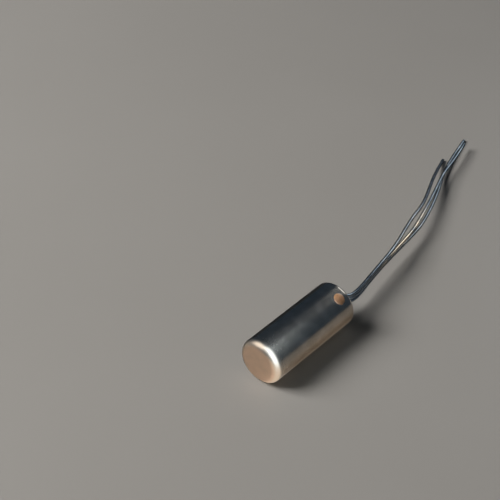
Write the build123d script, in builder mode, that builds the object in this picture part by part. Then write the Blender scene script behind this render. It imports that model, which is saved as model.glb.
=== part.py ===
"""A germanium alloy-junction transistor in a long metal can, lying on its side.

Millimetres. The origin is the can's centre, on its axis. +X runs along the can towards the leads,
+Z is up, and the table that the can and the lead tips rest on is half a diameter below the axis.
"""
import os
from math import cos, radians, sin, sqrt, tan

from build123d import *

# The drawn can and its two ends.
can_diameter = 5.8
can_length = 14.5
can_wall = 0.3
closed_shoulder = 0.9
closed_inner_radius = 0.6
open_shoulder = 0.5
open_inner_radius = 0.2
lip_edge_radius = 0.1

# The header that closes the can: a steel eyelet with a glass bead in it.
flange_thickness = 0.35
eyelet_bore = 3.3
eyelet_wall = 0.3
eyelet_length = 1.95
flange_land = 0.3
glass_recess = 0.08
glass_length = 1.7
glass_collar_height = 0.12
glass_collar_spread = 0.12
seam_width = 0.2
seam_height = 0.16

# The enamel dot that marks the collector, and the turn of the whole header about the can's axis.
dot_diameter = 1.45
dot_height = 0.07
dot_edge_height = 0.015
dot_from_open_end = 1.57
dot_turn = 33.0

# The leads, in one row across the glass, in line with the dot.
wire_diameter = 0.45
emitter_offset = -1.1
base_offset = -0.2
collector_offset = 1.2
straight_exit = 0.55
post_length = 2.2
arc_share = 0.45

# How far each tip reaches past the open end, and the way there. Each bend is a share of that reach,
# a distance to the side, and a height above the table. The base tip stays just clear of the table.
emitter_reach = 44.25
base_reach = 42.15
collector_reach = 37.8
emitter_route = ((0.057, -0.81, 1.68), (0.17, 0.19, 1.8), (0.281, 0.9, 1.76), (0.43, 1.7, 1.55),
                 (0.503, 2.35, 1.4), (0.647, 4.65, 1.0), (0.79, 7.65, 0.6), (0.913, 9.3, 0.33))
base_route = ((0.056, -0.88, 2.52), (0.163, -0.17, 2.65), (0.27, 0.55, 2.62), (0.426, 1.55, 2.35),
              (0.502, 2.45, 2.18), (0.656, 4.65, 1.8), (0.734, 5.9, 1.62), (0.80, 6.86, 1.5),
              (0.905, 7.8, 1.35))
collector_route = ((0.052, -1.16, 3.42), (0.186, -0.43, 3.6), (0.351, 0.78, 3.3), (0.525, 3.0, 2.75),
                   (0.622, 3.83, 2.4), (0.714, 5.2, 1.95), (0.806, 6.85, 1.45), (0.906, 8.4, 0.85))
emitter_tip_side = 10.29
base_tip_side = 9.0
collector_tip_side = 9.7
base_tip_height = 1.22

# The crystal and what holds it, at the middle of the can.
tab_thickness = 0.2
tab_width = 3.2
tab_reach = 3.4
weld_length = 1.2
weld_flat = 0.15
tab_hole = 1.4
tab_corner = 0.4
wafer_side = 2.4
wafer_thickness = 0.15
solder_thickness = 0.04
solder_width = 0.3
emitter_pellet_diameter = 0.8
emitter_pellet_height = 0.3
collector_pellet_diameter = 1.2
collector_pellet_height = 0.4
whisker_diameter = 0.2
whisker_depth = 0.12
whisker_bend = 0.25
post_past_tab = 0.4

# The silicone that fills the can, with an air space under the header.
air_space = 0.8

can_radius = can_diameter / 2
bore_radius = can_radius - can_wall
wire_radius = wire_diameter / 2
whisker_radius = whisker_diameter / 2
open_end = can_length / 2
closed_end = -open_end
flange_top = open_end - can_wall
eyelet_inside = flange_top - eyelet_length
eyelet_radius = eyelet_bore / 2
lip_radius = eyelet_radius + flange_land + seam_width
lip_bend = min(open_shoulder, can_radius - lip_radius - lip_edge_radius)
glass_top = flange_top - glass_recess
glass_bottom = glass_top - glass_length

# The row of leads lies in this plane: its x runs along the can, and its y points at the dot.
turn = radians(dot_turn)
row = Plane(origin=(0, 0, 0), x_dir=(1, 0, 0), z_dir=(0, -cos(turn), -sin(turn)))


def across(x, offset):
    """The plane square to the can's axis at x, centred on the lead at this offset."""
    return Plane(origin=row.from_local_coords((x, offset, 0)), x_dir=row.y_dir, z_dir=(1, 0, 0))


def facing_dot(x, height):
    """The plane that looks at the dot, over the place x along the can, at this height on the row."""
    return Plane(origin=row.from_local_coords((x, height, 0)), x_dir=(1, 0, 0), z_dir=row.y_dir)


def corners(sketch, *places):
    """The sketch's corners nearest to these places."""
    return [sketch.vertices().sort_by_distance(place)[0] for place in places]


# The can: one deep-drawn cup, its mouth rolled in over the header.
with BuildPart() as can:
    with BuildSketch(Plane.XY) as profile:
        with BuildLine():
            Polyline(
                (closed_end, 0),
                (closed_end, can_radius),
                (open_end, can_radius),
                (open_end, lip_radius),
                (flange_top, lip_radius),
                (flange_top, bore_radius),
                (closed_end + can_wall, bore_radius),
                (closed_end + can_wall, 0),
                close=True,
            )
        make_face()
        fillet(corners(profile, (closed_end, can_radius)), closed_shoulder)
        fillet(corners(profile, (open_end, can_radius)), lip_bend)
        fillet(corners(profile, (closed_end + can_wall, bore_radius)), closed_inner_radius)
        fillet(corners(profile, (flange_top, bore_radius)), open_inner_radius)
        fillet(corners(profile, (open_end, lip_radius)), lip_edge_radius)
    revolve(axis=Axis.X)
can.part.label = "can"

# The dot: a drop of enamel on the can. Its dome is curved more across the can than along it, so that
# its edge is as thin at the sides as at the ends.
dot_radius = dot_diameter / 2
dot_place = open_end - dot_from_open_end
crest = can_radius + dot_height
dome_fall = dot_height - dot_edge_height
dome_radius_along = (dot_radius**2 + dome_fall**2) / (2 * dome_fall)
side_height = sqrt(can_radius**2 - dot_radius**2) + dot_edge_height
dome_axis = (crest**2 - side_height**2 - dot_radius**2) / (2 * (crest - side_height))
with BuildPart() as marker_dot:
    with BuildSketch(facing_dot(dot_place, 0)):
        Circle(dot_radius)
    extrude(amount=can_diameter)
    with BuildSketch(row):
        with Locations((dot_place, crest - dome_radius_along)):
            Circle(dome_radius_along)
        with Locations((dot_place, dome_axis)):
            Rectangle(
                2 * dot_diameter,
                can_diameter,
                align=(Align.CENTER, Align.MIN),
                mode=Mode.INTERSECT,
            )
    revolve(
        axis=Axis(row.from_local_coords((dot_place, dome_axis, 0)), (1, 0, 0)),
        mode=Mode.INTERSECT,
    )
    with BuildSketch(Plane.YZ.offset(dot_place - dot_diameter)):
        Circle(can_radius)
    extrude(amount=2 * dot_diameter, mode=Mode.SUBTRACT)
marker_dot.part.label = "marker_dot"

# The header ring: a pressed eyelet whose flange sits under the can's lip.
with BuildPart() as header_ring:
    with BuildSketch(Plane.XY) as profile:
        with BuildLine():
            Polyline(
                (flange_top, eyelet_radius),
                (flange_top, bore_radius),
                (flange_top - flange_thickness, bore_radius),
                (flange_top - flange_thickness, eyelet_radius + eyelet_wall),
                (eyelet_inside, eyelet_radius + eyelet_wall),
                (eyelet_inside, eyelet_radius),
                close=True,
            )
        make_face()
        fillet(corners(profile, (flange_top, bore_radius)), open_inner_radius)
    revolve(axis=Axis.X)
header_ring.part.label = "header_ring"

# The solder run round the joint between the lip and the flange.
with BuildPart() as seal_solder:
    with BuildSketch(Plane.XY):
        with BuildLine():
            foot = (flange_top, lip_radius - seam_width)
            crest = (flange_top + seam_height, lip_radius)
            Line(foot, (flange_top, lip_radius))
            Line((flange_top, lip_radius), crest)
            ThreePointArc(
                crest,
                (flange_top + seam_height * 0.36, lip_radius - seam_width * 0.36),
                foot,
            )
        make_face()
    revolve(axis=Axis.X)
seal_solder.part.label = "seal_solder"

# The glass bead, with a collar where it has crept up each wire.
with BuildPart() as glass_seal:
    with BuildSketch(Plane.YZ.offset(glass_bottom)):
        Circle(eyelet_radius)
    extrude(amount=glass_length)
    for offset in (emitter_offset, base_offset, collector_offset):
        with BuildSketch(across(glass_top, offset)):
            Circle(wire_radius + glass_collar_spread)
        with BuildSketch(across(glass_top + glass_collar_height, offset)):
            Circle(wire_radius + glass_collar_spread / 4)
        loft()
    for offset in (emitter_offset, base_offset, collector_offset):
        with BuildSketch(across(glass_bottom, offset)):
            Circle(wire_radius)
        extrude(amount=glass_length + glass_collar_height, mode=Mode.SUBTRACT)
glass_seal.part.label = "glass_seal"


def lead_points(offset, reach, route, tip_side, tip_height=wire_radius):
    """The corners of a lead from its straight exit to its tip, which lies on the table or above."""
    points = [Vector(row.from_local_coords((open_end + straight_exit, offset, 0)))]
    for share, side, height in route:
        points.append(Vector(open_end + share * reach, side, height - can_radius))
    points.append(Vector(open_end + reach, tip_side, tip_height - can_radius))
    return points


def bend_radii(points):
    """The largest arc that each corner's two runs leave room for."""
    radii = []
    for before, here, after in zip(points, points[1:], points[2:]):
        shorter = min((here - before).length, (after - here).length)
        half_turn = radians((here - before).get_angle(after - here)) / 2
        radii.append(arc_share * shorter / tan(half_turn))
    return radii


def make_lead(label, offset, points, inner_end, flat_length=0):
    """One wire: a straight post through the glass, bends outside, and a straight tip."""
    start = Vector(row.from_local_coords((glass_top, offset, 0)))
    radii = bend_radii([start] + points)
    print(label, "bend radii", [round(radius, 1) for radius in radii])
    with BuildPart() as lead:
        with BuildSketch(across(inner_end, offset)):
            Circle(wire_radius)
        extrude(amount=glass_top - inner_end)
        if flat_length:
            with BuildSketch(facing_dot(inner_end, offset + weld_flat)):
                Rectangle(2 * flat_length, 2 * wire_diameter)
            extrude(amount=wire_diameter, mode=Mode.SUBTRACT)
        with BuildLine():
            way = FilletPolyline(start, *points, radius=radii)
        with BuildSketch(Plane(origin=start, z_dir=(1, 0, 0))):
            Circle(wire_radius)
        sweep(path=way)
    lead.part.label = label
    return lead


# The crystal stands where the posts end. The tab's end laps the base lead, and the row runs on.
post_end = eyelet_inside - post_length
tab_top = base_offset + weld_flat + tab_thickness
base_post_end = post_end - post_past_tab
tab_end = base_post_end + weld_length
crystal = tab_end - tab_reach
wafer_bottom = tab_top + solder_thickness
wafer_top = wafer_bottom + wafer_thickness
emitter_face = wafer_bottom - emitter_pellet_height
collector_face = wafer_top + collector_pellet_height

emitter_points = lead_points(emitter_offset, emitter_reach, emitter_route, emitter_tip_side)
base_points = lead_points(base_offset, base_reach, base_route, base_tip_side, base_tip_height)
collector_points = lead_points(
    collector_offset, collector_reach, collector_route, collector_tip_side
)
emitter_lead = make_lead("emitter_lead", emitter_offset, emitter_points, post_end)
collector_lead = make_lead("collector_lead", collector_offset, collector_points, post_end)
# The base lead's inner end is flattened, where the tab is welded to it.
base_lead = make_lead(
    "base_lead", base_offset, base_points, base_post_end, flat_length=weld_length
)

# The base tab: a strip of nickel with a hole for the emitter side of the crystal.
with BuildPart() as base_tab:
    with BuildSketch(facing_dot(crystal, base_offset + weld_flat)) as outline:
        with Locations(((tab_reach - tab_width / 2) / 2, 0)):
            Rectangle(tab_reach + tab_width / 2, tab_width)
        fillet(outline.vertices(), tab_corner)
        Circle(tab_hole / 2, mode=Mode.SUBTRACT)
    extrude(amount=tab_thickness)
base_tab.part.label = "base_tab"

# The ring of solder that holds the wafer over the hole.
with BuildPart() as wafer_solder:
    with BuildSketch(facing_dot(crystal, tab_top)):
        Circle(tab_hole / 2 + solder_width)
        Circle(tab_hole / 2, mode=Mode.SUBTRACT)
    extrude(amount=solder_thickness)
wafer_solder.part.label = "wafer_solder"

with BuildPart() as germanium_wafer:
    with BuildSketch(facing_dot(crystal, wafer_bottom)):
        Rectangle(wafer_side, wafer_side)
    extrude(amount=wafer_thickness)
germanium_wafer.part.label = "germanium_wafer"


def make_whisker(label, pellet_face, outward, offset):
    """A fine wire from inside a pellet, out along the row, and round to the end of its post."""
    buried = pellet_face - outward * whisker_depth
    with BuildPart() as whisker:
        with BuildLine(row):
            way = FilletPolyline(
                (crystal, buried), (crystal, offset), (post_end, offset), radius=whisker_bend
            )
        with BuildSketch(facing_dot(crystal, buried)):
            Circle(whisker_radius)
        sweep(path=way)
    whisker.part.label = label
    return whisker


def make_pellet(label, seat, outward, diameter, height, whisker):
    """A dot of indium alloyed to the wafer: a low dome, with its whisker frozen into its top."""
    with BuildPart() as pellet:
        with BuildSketch(row) as profile:
            with BuildLine():
                Line((crystal, seat), (crystal + diameter / 2, seat))
                EllipticalCenterArc(
                    (crystal, seat),
                    diameter / 2,
                    height,
                    start_angle=0 if outward > 0 else 270,
                    arc_size=90,
                )
                Line((crystal, seat + outward * height), (crystal, seat))
            make_face()
        revolve(axis=Axis(row.from_local_coords((crystal, 0, 0)), row.y_dir))
        add(whisker.part, mode=Mode.SUBTRACT)
    pellet.part.label = label
    return pellet


emitter_whisker = make_whisker("emitter_whisker", emitter_face, -1, emitter_offset)
collector_whisker = make_whisker("collector_whisker", collector_face, 1, collector_offset)
emitter_pellet = make_pellet(
    "emitter_pellet", wafer_bottom, -1, emitter_pellet_diameter, emitter_pellet_height,
    emitter_whisker,
)
collector_pellet = make_pellet(
    "collector_pellet", wafer_top, 1, collector_pellet_diameter, collector_pellet_height,
    collector_whisker,
)

# The silicone: it takes the can's inside shape, round everything that it was poured over.
inside = (
    emitter_lead, base_lead, collector_lead, base_tab, wafer_solder, germanium_wafer,
    emitter_pellet, collector_pellet, emitter_whisker, collector_whisker,
)
with BuildPart() as silicone_fill:
    with BuildSketch(Plane.XY) as profile:
        with BuildLine():
            Polyline(
                (closed_end + can_wall, 0),
                (closed_end + can_wall, bore_radius),
                (eyelet_inside - air_space, bore_radius),
                (eyelet_inside - air_space, 0),
                close=True,
            )
        make_face()
        fillet(corners(profile, (closed_end + can_wall, bore_radius)), closed_inner_radius)
    revolve(axis=Axis.X)
    for piece in inside:
        add(piece.part, mode=Mode.SUBTRACT)
silicone_fill.part.label = "silicone_fill"

os.makedirs("parts", exist_ok=True)
for piece in (can, marker_dot, header_ring, seal_solder, glass_seal, silicone_fill) + inside:
    export_step(piece.part, f"parts/{piece.part.label}.step")
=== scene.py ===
"""A germanium transistor in a long metal can, lying on a pale table.

Metres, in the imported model's own frame: the origin is the can's centre, on its axis. +X runs along
the can towards the leads, +Z is up, and the table is half a can's diameter below the axis.
"""
from math import cos, pi, radians, sin, sqrt

import bmesh
import bpy
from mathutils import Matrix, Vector


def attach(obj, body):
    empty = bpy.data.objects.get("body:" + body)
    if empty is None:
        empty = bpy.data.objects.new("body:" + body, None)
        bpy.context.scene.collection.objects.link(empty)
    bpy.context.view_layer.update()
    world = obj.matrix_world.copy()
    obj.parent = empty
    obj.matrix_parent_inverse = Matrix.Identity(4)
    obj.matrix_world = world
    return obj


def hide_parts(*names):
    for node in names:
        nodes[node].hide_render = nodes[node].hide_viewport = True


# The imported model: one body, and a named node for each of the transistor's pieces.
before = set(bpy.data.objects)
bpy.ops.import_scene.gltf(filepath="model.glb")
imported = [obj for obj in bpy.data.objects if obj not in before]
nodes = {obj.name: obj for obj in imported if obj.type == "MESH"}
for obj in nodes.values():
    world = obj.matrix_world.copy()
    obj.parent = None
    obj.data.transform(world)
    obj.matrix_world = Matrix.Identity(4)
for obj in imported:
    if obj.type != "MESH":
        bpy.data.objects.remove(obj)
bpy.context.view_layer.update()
bpy.ops.object.select_all(action="DESELECT")
mm = 0.001

# The table that the transistor lies on: a plain pale board with a silky surface.
# The can rests on it along one line, and two of the lead tips touch it.
can_radius = 2.9 * mm
table_size = 2.0
bpy.ops.mesh.primitive_plane_add(size=table_size, location=(0, 0, -can_radius))
table = bpy.context.object
table.name = "table_top"


class Socket:
    """An output of a material's node. Arithmetic on it adds the Math nodes that it stands for."""

    def __init__(self, link):
        self.link = link

    def node(self, kind, settings, sockets, output=0):
        """Adds a node: first its settings, then the value or the link of each of its sockets."""
        made = self.link.id_data.nodes.new("ShaderNode" + kind)
        for name, value in settings.items():
            setattr(made, name, value)
        for name, value in sockets.items():
            if isinstance(value, Socket):
                self.link.id_data.links.new(value.link, made.inputs[name])
            else:
                made.inputs[name].default_value = value
        return Socket(made.outputs[output])

    def maths(self, operation, *values):
        return self.node("Math", {"operation": operation}, dict(enumerate(values)))

    def __add__(self, other):
        return self.maths("ADD", self, other)

    def __radd__(self, other):
        return self.maths("ADD", other, self)

    def __sub__(self, other):
        return self.maths("SUBTRACT", self, other)

    def __rsub__(self, other):
        return self.maths("SUBTRACT", other, self)

    def __mul__(self, other):
        return self.maths("MULTIPLY", self, other)

    def __rmul__(self, other):
        return self.maths("MULTIPLY", other, self)

    def noise(self, scale, detail, rough=0.55):
        """A cloudy pattern from 0 to 1, so many times to the metre."""
        return self.node(
            "TexNoise", {}, {"Vector": self, "Scale": scale, "Detail": detail, "Roughness": rough}
        )

    def between(self, low, high):
        """A soft step: 0 where this is under low, 1 where it is over high."""
        return self.node(
            "MapRange",
            {"interpolation_type": "SMOOTHSTEP"},
            {"Value": self, "From Min": low, "From Max": high},
        )

    def blend(self, dark, light):
        """The first colour where this is 0, and the second where it is 1."""
        dark = dark if isinstance(dark, Socket) else (*dark, 1)
        light = light if isinstance(light, Socket) else (*light, 1)
        return self.node("Mix", {"data_type": "RGBA"}, {0: self, 6: dark, 7: light}, 2)

    def stretched(self, along, across_y, across_z):
        """This place with its axes scaled, for a pattern that is drawn out one way."""
        return self.node(
            "VectorMath", {"operation": "MULTIPLY"}, {0: self, 1: (along, across_y, across_z)}
        )

    def measured(self, axis):
        """How far along an axis this place is: 0 for the can's own axis, and 1 for across the table."""
        return self.node("SeparateXYZ", {}, {"Vector": self}, axis)


def material(name):
    """A new material, and the place on the piece that its patterns start from."""
    made = bpy.data.materials.new(name)
    made.use_nodes = True
    coordinates = made.node_tree.nodes.new("ShaderNodeTexCoord")
    return made, Socket(coordinates.outputs["Object"])


def mirror_rays(nodes_and_links):
    """1 for what is seen as a reflection, and 0 for what is seen or lit directly."""
    return Socket(nodes_and_links.nodes.new("ShaderNodeLightPath").outputs["Is Glossy Ray"])


def finish(made, bump, height, **looks):
    """Sets the shader of a material: its values and links, and the height of its bumps."""
    shader = made.node_tree.nodes["Principled BSDF"]
    looks["Normal"] = bump.node("Bump", {}, {"Height": bump, "Distance": height})
    for name, value in looks.items():
        socket = shader.inputs[name.replace("_", " ")]
        if isinstance(value, Socket):
            made.node_tree.links.new(value.link, socket)
        else:
            socket.default_value = value


table_paint_and_painted_reflections, place = material("table_paint_and_painted_reflections")
clouds = place.noise(25, 4)
paint_colour = clouds.blend((0.37, 0.355, 0.335), (0.40, 0.385, 0.365))
# Painted reflections, seen in mirrored rays only: the table glows warm beside the can and bright in
# front of the closed end, and is painted dark behind the can, in place of the light and shade that the
# metal mirrors.
painted_dark_reflection = (0.03, 0.03, 0.03)
no_glow = (0, 0, 0)
painted_warm_reflection = (0.15, 0.118, 0.086)
painted_bright_reflection = (0.35, 0.315, 0.28)
east = place.measured(0)
north = place.measured(1)
mirrored = mirror_rays(table_paint_and_painted_reflections.node_tree)
beside = mirrored * north.between(-9 * mm, -4.5 * mm) * (1 - north.between(-2 * mm, 0))
beside = beside * east.between(-8 * mm, -5 * mm) * (1 - east.between(6 * mm, 14 * mm))
in_front = mirrored * north.between(-40 * mm, -20 * mm) * (1 - north.between(-2 * mm, 0))
in_front = in_front * (1 - east.between(-6 * mm, -2 * mm))
behind = mirrored * north.between(1 * mm, 4 * mm) * east.between(-9 * mm, -6 * mm)
# The base colour carries the painted dark reflection behind the can, and the emission the painted warm
# and bright reflections.
finish(
    table_paint_and_painted_reflections,
    bump=place.noise(1800, 3),
    height=0.008 * mm,
    Base_Color=behind.blend(paint_colour, painted_dark_reflection),
    Emission_Color=in_front.blend(beside.blend(no_glow, painted_warm_reflection), painted_bright_reflection),
    Emission_Strength=1.0,
    Roughness=0.3 + clouds * 0.08,
    Specular_IOR_Level=0.2,
)
table.data.materials.append(table_paint_and_painted_reflections)

# The camera, at the place, tilt and lens that were fitted to the photograph, for a 36 mm film.
# It looks down by one angle, and its heading is counted round from +X.
looks_down = 38.891
heading = 41.846
bpy.ops.object.camera_add(
    location=(-76.076 * mm, -60.468 * mm, 90.751 * mm),
    rotation=(radians(90 - looks_down), 0, radians(heading - 90)),
)
camera = bpy.context.object
camera.data.sensor_width = 36
camera.data.lens = 80.56
camera.data.clip_start = 0.005
bpy.context.scene.camera = camera

# The studio: a soft box at the left in a dim room lights the table and casts the shadow. Three others
# show only in reflections, mostly the metal's: at the left, beside the camera, and at the far right.
for name, turn, height, distance, width, depth, watts, colour, in_metal in (
    ("left_box", 132, 43, 0.5, 0.26, 0.26, 2.75, (1.0, 0.985, 0.96), False),
    ("left_glow", 132, 47, 0.5, 0.50, 0.50, 0.9, (1.0, 0.985, 0.96), True),
    ("camera_box", -110, 44, 0.42, 0.60, 0.85, 3.7, (0.69, 0.85, 1.0), True),
    ("far_right_box", 2, 31, 0.45, 0.24, 0.16, 0.36, (0.86, 0.94, 1.0), True),
):
    level = cos(radians(height))
    aim = Vector((level * cos(radians(turn)), level * sin(radians(turn)), sin(radians(height))))
    bpy.ops.object.light_add(
        type="AREA", location=aim * distance, rotation=aim.to_track_quat("Z", "Y").to_euler()
    )
    box = bpy.context.object
    box.name = name
    box.data.shape = "RECTANGLE"
    box.data.size = width
    box.data.size_y = depth
    box.data.energy = watts
    box.data.color = colour
    box.visible_diffuse = not in_metal
    box.visible_glossy = in_metal
    box.visible_camera = False
# The room's own light is warm, and blue where it is mirrored.
warm_dimness = (0.016, 0.014, 0.012)
blue_dimness = (0.028, 0.045, 0.07)
room = bpy.data.worlds.new("dim_room")
room.use_nodes = True
dim_light = mirror_rays(room.node_tree).blend(warm_dimness, blue_dimness)
room.node_tree.links.new(dim_light.link, room.node_tree.nodes["Background"].inputs["Color"])
bpy.context.scene.world = room
bpy.context.scene.view_settings.view_transform = "Standard"

# The can: a cup of plated steel drawn in one piece, with a broad rounded shoulder at its closed end.
# Its mouth is rolled in over the header, which leaves a narrow flat rim round the glass.
can_half = 7.25 * mm
can_wall = 0.3 * mm
bore = 2.6 * mm
lip_mouth = 2.15 * mm
header_top = can_half - can_wall
closed_shoulder = 0.9 * mm
open_shoulder = 0.5 * mm
lip_edge = 0.1 * mm
flange_corner = 0.2 * mm
bottom_corner = 0.6 * mm
same_place = 0.01 * mm
doubled = 0.001 * mm


def turned(name, outline, around):
    """Draws a ring round the can's axis and pulls it along an outline of (place, radius)."""
    place, radius = outline[0]
    bpy.ops.mesh.primitive_circle_add(
        vertices=around, radius=radius, location=(place, 0, 0), rotation=(0, pi / 2, 0)
    )
    bpy.ops.object.transform_apply()
    piece = bpy.context.object
    piece.name = name
    bpy.ops.object.mode_set(mode="EDIT")
    for next_place, next_radius in outline[1:]:
        bpy.ops.mesh.extrude_edges_move(
            TRANSFORM_OT_translate={"value": (next_place - place, 0, 0)}
        )
        grow = next_radius / radius
        bpy.ops.transform.resize(value=(1, grow, grow), center_override=(next_place, 0, 0))
        place, radius = next_place, next_radius
    bpy.ops.mesh.select_all(action="SELECT")
    bpy.ops.mesh.remove_doubles(threshold=doubled)
    bpy.ops.mesh.fill_holes(sides=0)
    bpy.ops.mesh.select_all(action="SELECT")
    bpy.ops.mesh.normals_make_consistent(inside=False)
    return piece


def choose(piece, kind, test):
    """Selects the vertices or edges that have all their corners where the test says, in edit mode."""
    bpy.ops.mesh.select_mode(type=kind)
    bpy.ops.mesh.select_all(action="DESELECT")
    mesh = bmesh.from_edit_mesh(piece.data)
    for item in {"VERT": mesh.verts, "EDGE": mesh.edges}[kind]:
        corners = [item] if kind == "VERT" else item.verts
        if all(test(corner.co) for corner in corners):
            item.select_set(True)
    mesh.select_flush_mode()
    bmesh.update_edit_mesh(piece.data)


def round_edge(piece, place, radius, offset, segments):
    """Rounds the circle of edges at this place along the axis and this radius."""
    choose(
        piece,
        "EDGE",
        lambda v: abs(v.x - place) < same_place and abs(v.yz.length - radius) < same_place,
    )
    bpy.ops.mesh.bevel(offset=offset, segments=segments, affect="EDGES")


def put(piece, made, slot, *replaced):
    """Gives a finished piece its material, its smooth shading, and its place in the model."""
    bpy.ops.object.mode_set(mode="OBJECT")
    bpy.ops.object.shade_smooth_by_angle(angle=radians(35))
    piece.data.materials.append(made)
    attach(piece, "root")
    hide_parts(*replaced)
    bpy.ops.object.select_all(action="DESELECT")


can = turned(
    "drawn_can",
    (
        (-header_top, bore),
        (header_top, bore),
        (header_top, lip_mouth),
        (can_half, lip_mouth),
        (can_half, can_radius),
        (-can_half, can_radius),
    ),
    around=128,
)
round_edge(can, -can_half, can_radius, closed_shoulder, segments=16)
round_edge(can, can_half, can_radius, open_shoulder, segments=10)
round_edge(can, can_half, lip_mouth, lip_edge, segments=4)
round_edge(can, header_top, bore, flange_corner, segments=4)
round_edge(can, -header_top, bore, bottom_corner, segments=4)

can_plating, place = material("worn_plating")
along = place.measured(0)
# From the closed end: its flat face, its shoulder, the satin band there, and the handled side.
# The face's warm copper tint is a painted reflection of the warm table that it mirrors, and the
# shoulder's brighter, warmer colour is a painted highlight.
end_face = 1 - along.between(-can_half, -7.0 * mm)
painted_highlight_band = 1 - along.between(-6.8 * mm, -6.2 * mm)
satin = 1 - along.between(-6.7 * mm, -6.0 * mm)
handled = 1 - along.between(-6.4 * mm, 1.5 * mm)
clouds = place.noise(700, 4)
grain = place.noise(3500, 3, 0.6)
draw_lines = place.stretched(0.05, 1, 1).noise(9000, 2)
scuffs = place.stretched(0.35, 1, 1).noise(1500, 4, 0.7).between(0.58, 0.72)
side_colour = clouds.between(0.35, 0.7).blend((0.43, 0.37, 0.30), (0.53, 0.455, 0.38))
# Painted highlight: the shoulder's brighter colour. Painted reflection: the face's warm copper tint.
painted_highlight_colour = (0.92, 0.75, 0.585)
face_colour_and_painted_reflection = clouds.between(0.3, 0.7).blend((0.78, 0.55, 0.395), (0.86, 0.61, 0.44))
finish(
    can_plating,
    bump=grain * 0.12 + draw_lines * 0.3,
    height=0.002 * mm,
    Base_Color=end_face.blend(painted_highlight_band.blend(side_colour, painted_highlight_colour), face_colour_and_painted_reflection),
    Metallic=1.0,
    Roughness=0.15 + grain * 0.05 + clouds * 0.05 + handled * (0.07 + scuffs * 0.02) + satin * 0.12,
)
put(can, can_plating, "can_plating", "can")

# The dot beside the collector: a drop of copper-coloured enamel that has dried as a low dome.
# A flat disc is laid on the can and then thickened, least at its edge.
header_turn = radians(33)
dot_up = Vector((0, -sin(header_turn), cos(header_turn)))
dot_radius = 0.725 * mm
dot_place = can_half - 1.57 * mm
dot_sunk = 0.02 * mm
dot_fill = 0.09 * mm
dot_edge = 0.38
above_can = 0.3 * mm
disc_rings = (0.02, 0.03, 0.05, 0.08, 0.12, 0.14, 0.14)
bpy.ops.mesh.primitive_circle_add(
    vertices=72,
    radius=dot_radius,
    fill_type="NGON",
    location=Vector((dot_place, 0, 0)) + dot_up * (can_radius + above_can),
    rotation=(header_turn, 0, 0),
)
dot = bpy.context.object
dot.name = "enamel_drop"
bpy.ops.object.mode_set(mode="EDIT")
for ring in disc_rings:
    bpy.ops.mesh.inset(thickness=ring * mm)
bpy.ops.mesh.poke()
bpy.ops.object.mode_set(mode="OBJECT")
thick = dot.vertex_groups.new(name="thickness")
for vertex in dot.data.vertices:
    rise = sqrt(max(0, 1 - (vertex.co.xy.length / dot_radius) ** 2))
    thick.add([vertex.index], dot_edge + (1 - dot_edge) * rise, "REPLACE")
lay = dot.modifiers.new("lay", "SHRINKWRAP")
lay.wrap_method = "PROJECT"
lay.use_project_z = True
lay.use_negative_direction = True
lay.use_positive_direction = False
lay.target = can
lay.offset = -dot_sunk
bpy.ops.object.modifier_apply(modifier="lay")
fill = dot.modifiers.new("fill", "SOLIDIFY")
fill.thickness = dot_fill
fill.offset = 1
fill.vertex_group = "thickness"
bpy.ops.object.modifier_apply(modifier="fill")
bpy.ops.object.transform_apply()

copper_enamel, place = material("copper_enamel")
clouds = place.noise(2500, 4)
finish(
    copper_enamel,
    bump=place.noise(5000, 2),
    height=0.004 * mm,
    Base_Color=clouds.between(0.3, 0.7).blend((0.62, 0.31, 0.14), (0.78, 0.44, 0.22)),
    Roughness=0.25 + clouds * 0.1,
    Coat_Weight=0.8,
    Coat_Roughness=0.08,
)
put(dot, copper_enamel, "marker_enamel", "marker_dot")

# The header: an eyelet pressed from steel sheet and plated. Its flange is held under the can's rim,
# and its neck reaches into the can and holds the glass.
eyelet_bore = 1.65 * mm
neck = 1.95 * mm
neck_end = 5.0 * mm
flange_under = header_top - 0.35 * mm
bore_edge = 0.05 * mm
header = turned(
    "pressed_header",
    (
        (header_top, eyelet_bore),
        (header_top, bore),
        (flange_under, bore),
        (flange_under, neck),
        (neck_end, neck),
        (neck_end, eyelet_bore),
        (header_top, eyelet_bore),
    ),
    around=96,
)
round_edge(header, header_top, bore, flange_corner, segments=4)
round_edge(header, header_top, eyelet_bore, bore_edge, segments=3)

header_plating, place = material("header_plating")
clouds = place.noise(1500, 4)
grain = place.noise(7000, 3)
finish(
    header_plating,
    bump=grain,
    height=0.005 * mm,
    Base_Color=clouds.between(0.35, 0.7).blend((0.36, 0.34, 0.31), (0.55, 0.54, 0.51)),
    Metallic=1.0,
    Roughness=0.26 + grain * 0.2,
)
put(header, header_plating, "header_plating", "header_ring")

# The seal: soft solder, run round the joint between the can's rim and the header.
# It has set as a hollow fillet, highest against the rim.
seam_foot = lip_mouth - 0.2 * mm
seam_crest = header_top + 0.16 * mm
solder = turned(
    "solder_run",
    (
        (header_top, lip_mouth),
        (seam_crest, lip_mouth),
        (header_top + 0.095 * mm, lip_mouth - 0.04 * mm),
        (header_top + 0.055 * mm, lip_mouth - 0.075 * mm),
        (header_top + 0.025 * mm, lip_mouth - 0.12 * mm),
        (header_top, seam_foot),
        (header_top, lip_mouth),
    ),
    around=120,
)

dull_solder, place = material("dull_solder")
clouds = place.noise(1800, 4)
finish(
    dull_solder,
    bump=clouds,
    height=0.04 * mm,
    Base_Color=clouds.between(0.3, 0.7).blend((0.42, 0.42, 0.43), (0.62, 0.63, 0.64)),
    Metallic=1.0,
    Roughness=0.34 + clouds * 0.2,
)
put(solder, dull_solder, "solder", "seal_solder")

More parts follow.
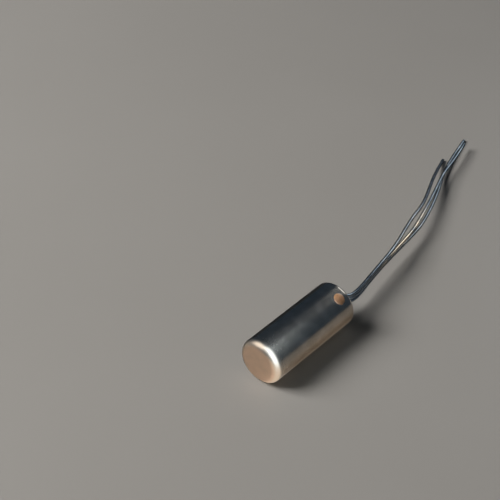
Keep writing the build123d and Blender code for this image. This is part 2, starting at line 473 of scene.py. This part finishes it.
# The glass bead: dark glass, fused into the header's neck round the three leads.
# It has crept a little up the neck, and up each lead in a collar.
glass_top = header_top - 0.08 * mm
bead_depth = 1.7 * mm
wire_radius = 0.225 * mm
collar_foot = wire_radius + 0.12 * mm
collar_root = 0.1 * mm
lead_offsets = {"emitter": -1.1 * mm, "base": -0.2 * mm, "collector": 1.2 * mm}
glass = turned(
    "glass_bead",
    (
        (glass_top - bead_depth, eyelet_bore),
        (glass_top + 0.05 * mm, eyelet_bore),
        (glass_top + 0.02 * mm, eyelet_bore - 0.05 * mm),
        (glass_top + 0.005 * mm, eyelet_bore - 0.12 * mm),
        (glass_top, eyelet_bore - 0.25 * mm),
    ),
    around=96,
)
bpy.ops.object.mode_set(mode="OBJECT")
collars = []
for lead, offset in lead_offsets.items():
    collar = turned(
        lead + "_collar",
        (
            (glass_top - collar_root, collar_foot),
            (glass_top + 0.003 * mm, collar_foot),
            (glass_top + 0.02 * mm, wire_radius + 0.07 * mm),
            (glass_top + 0.06 * mm, wire_radius + 0.035 * mm),
            (glass_top + 0.12 * mm, wire_radius + 0.02 * mm),
        ),
        around=32,
    )
    bpy.ops.transform.translate(value=dot_up * offset)
    bpy.ops.object.mode_set(mode="OBJECT")
    collars.append(collar)
bpy.ops.object.select_all(action="DESELECT")
for collar in collars:
    collar.select_set(True)
glass.select_set(True)
bpy.context.view_layer.objects.active = glass
bpy.ops.object.join()

seal_glass, place = material("seal_glass")
clouds = place.noise(1200, 4)
finish(
    seal_glass,
    bump=place.noise(2500, 2),
    height=0.01 * mm,
    Base_Color=clouds.between(0.3, 0.7).blend((0.015, 0.028, 0.027), (0.04, 0.065, 0.06)),
    Roughness=0.06 + clouds * 0.08,
    Coat_Weight=0.5,
)
put(glass, seal_glass, "seal_glass", "glass_seal")

# The leads: tinned copper wire, from the crystal's posts through the glass and out to their snipped
# tips. Each follows the bends that it was given by hand, along the same route as the imported lead.
# Part of the way along, a painted warm reflection turns the tin gold: faintly on the emitter and
# collector leads, and fully on the base's lead.
open_end = can_half / mm
glass_face = glass_top / mm
axis_height = can_radius / mm
first_bend = 7.8
# For each lead: where its inner end is, how far its tip reaches past the open end, and the tip's side
# and height. Each bend is a share of that reach, a side, and a height above the table. Millimetres.
lead_routes = {
    "emitter": (
        2.8, 44.25, 10.29, 0.225,
        ((0.057, -0.81, 1.68), (0.17, 0.19, 1.8), (0.281, 0.9, 1.76), (0.43, 1.7, 1.55),
         (0.503, 2.35, 1.4), (0.647, 4.65, 1.0), (0.79, 7.65, 0.6), (0.913, 9.3, 0.33)),
    ),
    "base": (
        2.4, 42.15, 9.0, 1.22,
        ((0.056, -0.88, 2.52), (0.163, -0.17, 2.65), (0.27, 0.55, 2.62), (0.426, 1.55, 2.35),
         (0.502, 2.45, 2.18), (0.656, 4.65, 1.8), (0.734, 5.9, 1.62), (0.80, 6.86, 1.5),
         (0.905, 7.8, 1.35)),
    ),
    "collector": (
        2.8, 37.8, 9.7, 0.225,
        ((0.052, -1.16, 3.42), (0.186, -0.43, 3.6), (0.351, 0.78, 3.3), (0.525, 3.0, 2.75),
         (0.622, 3.83, 2.4), (0.714, 5.2, 1.95), (0.806, 6.85, 1.45), (0.906, 8.4, 0.85)),
    ),
}
painted_gold_share = {"emitter": 0.12, "base": 1.0, "collector": 0.12}
painted_gold_starts = (15 * mm, 18 * mm)
painted_gold_ends = (27 * mm, 33 * mm)
snipped = (0.9, 0.9, 0.7)
snip_reach = 1.05 * wire_radius
flat_end = 3.6 * mm
flat_height = -0.05 * mm
file_size = 2 * mm


def tinning_with_painted_gold(name, gold_share):
    """Dull tinned wire, with a painted warm reflection in gold along a stretch of it, by this much."""
    made, place = material(name)
    along = place.measured(0)
    clouds = place.noise(1100, 4)
    grain = place.stretched(0.15, 1, 1).noise(8000, 3)
    # Painted reflection: a warm gold along a stretch of the wire, in patches, instead of the dull tin.
    painted_gold = along.between(*painted_gold_starts) * (1 - along.between(*painted_gold_ends)) * gold_share
    painted_gold = painted_gold * place.noise(350, 3).between(0.35, 0.5)
    tin = clouds.between(0.35, 0.7).blend((0.125, 0.148, 0.168), (0.26, 0.278, 0.29))
    finish(
        made,
        bump=grain + clouds * 0.6,
        height=0.006 * mm,
        Base_Color=painted_gold.blend(tin, (0.64, 0.51, 0.37)),
        Metallic=1.0,
        Roughness=0.16 + grain * 0.18,
    )
    return made


for lead, (inner_end, reach, tip_side, tip_height, route) in lead_routes.items():
    tinned_wire_with_painted_gold = tinning_with_painted_gold(lead + "_tinning", painted_gold_share[lead])
    across = dot_up * (lead_offsets[lead] / mm)
    points = [across + Vector((straight, 0, 0)) for straight in (inner_end, glass_face, first_bend)]
    for share, side, height in route:
        points.append(Vector((open_end + share * reach, side, height - axis_height)))
    points.append(Vector((open_end + reach, tip_side, tip_height - axis_height)))
    curve = bpy.data.curves.new(lead + "_way", "CURVE")
    curve.dimensions = "3D"
    curve.bevel_depth = wire_radius
    curve.bevel_resolution = 5
    curve.use_fill_caps = True
    line = curve.splines.new("NURBS")
    line.points.add(len(points) - 1)
    for point, here in zip(line.points, points):
        point.co = (*(here * mm), 1)
    line.order_u = 3
    line.use_endpoint_u = True
    line.resolution_u = 12
    wire = bpy.data.objects.new(lead + "_wire", curve)
    bpy.context.collection.objects.link(wire)
    wire.select_set(True)
    bpy.context.view_layer.objects.active = wire
    bpy.ops.object.convert(target="MESH")
    wire = bpy.context.object
    bpy.ops.object.mode_set(mode="EDIT")
    bpy.ops.mesh.select_all(action="SELECT")
    bpy.ops.mesh.remove_doubles(threshold=doubled)
    bpy.ops.mesh.normals_make_consistent(inside=False)
    tip = points[-1] * mm
    choose(wire, "VERT", lambda v: (v - tip).length < snip_reach)
    bpy.ops.transform.resize(value=snipped, center_override=tip)
    if lead == "base":
        # Its inner end is filed flat, where the tab is welded on.
        bpy.ops.object.mode_set(mode="OBJECT")
        bpy.ops.mesh.primitive_cube_add(
            size=file_size,
            location=Vector((flat_end - file_size / 2, 0, 0)) + dot_up * (flat_height + file_size / 2),
            rotation=(header_turn, 0, 0),
        )
        file_cut = bpy.context.object
        filed = wire.modifiers.new("filed", "BOOLEAN")
        filed.operation = "DIFFERENCE"
        filed.object = file_cut
        bpy.ops.object.select_all(action="DESELECT")
        wire.select_set(True)
        bpy.context.view_layer.objects.active = wire
        bpy.ops.object.modifier_apply(modifier="filed")
        bpy.data.objects.remove(file_cut)
    put(wire, tinned_wire_with_painted_gold, "lead_wire", lead + "_lead")

# The base tab: a strip of rolled nickel, welded to the base lead and punched with a hole under the
# crystal. It is inside the can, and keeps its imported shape.
rolled_nickel, place = material("rolled_nickel")
clouds = place.noise(1500, 3)
roll_lines = place.stretched(0.1, 1, 1).noise(7000, 2)
finish(
    rolled_nickel,
    bump=roll_lines,
    height=0.003 * mm,
    Base_Color=clouds.between(0.3, 0.7).blend((0.48, 0.45, 0.40), (0.62, 0.60, 0.55)),
    Metallic=1.0,
    Roughness=0.26 + roll_lines * 0.16,
)


def dress(made, *names):
    """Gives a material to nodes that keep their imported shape."""
    for name in names:
        for place_for_material in nodes[name].material_slots:
            place_for_material.material = made


dress(rolled_nickel, "base_tab")

# The crystal: a sawn and etched square of germanium, held over the tab's hole by a ring of solder.
# Both are inside the can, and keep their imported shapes.
etched_germanium, place = material("etched_germanium")
clouds = place.noise(900, 3)
etch_pits = place.node("TexVoronoi", {}, {"Vector": place, "Scale": 9000})
finish(
    etched_germanium,
    bump=etch_pits,
    height=0.004 * mm,
    Base_Color=clouds.between(0.3, 0.7).blend((0.15, 0.155, 0.17), (0.25, 0.25, 0.265)),
    Metallic=0.9,
    Roughness=0.16 + etch_pits * 0.2,
)
dress(etched_germanium, "germanium_wafer")
dress(dull_solder, "wafer_solder")

# The two pellets: beads of indium, melted on to the crystal's faces, which set as low domes.
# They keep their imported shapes.
soft_indium, place = material("soft_indium")
wrinkles = place.noise(4000, 4)
finish(
    soft_indium,
    bump=wrinkles,
    height=0.01 * mm,
    Base_Color=wrinkles.between(0.3, 0.7).blend((0.52, 0.53, 0.55), (0.70, 0.71, 0.73)),
    Metallic=1.0,
    Roughness=0.3 + wrinkles * 0.2,
)
dress(soft_indium, "emitter_pellet", "collector_pellet")

# The two whiskers: fine nickel wire, bent by hand from the top of each pellet round to its post.
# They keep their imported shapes.
fine_wire, place = material("fine_wire")
clouds = place.noise(2500, 3)
finish(
    fine_wire,
    bump=clouds,
    height=0.004 * mm,
    Base_Color=clouds.between(0.35, 0.7).blend((0.44, 0.42, 0.38), (0.60, 0.58, 0.54)),
    Metallic=1.0,
    Roughness=0.24 + clouds * 0.16,
)
dress(fine_wire, "emitter_whisker", "collector_whisker")

# The silicone grease that the can is filled with: a milky paste that takes the can's inside shape.
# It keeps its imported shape.
milky_silicone, place = material("milky_silicone")
clouds = place.noise(600, 4)
finish(
    milky_silicone,
    bump=place.noise(1500, 3),
    height=0.03 * mm,
    Base_Color=clouds.between(0.3, 0.7).blend((0.66, 0.66, 0.61), (0.78, 0.78, 0.74)),
    Roughness=0.22 + clouds * 0.15,
)
dress(milky_silicone, "silicone_fill")
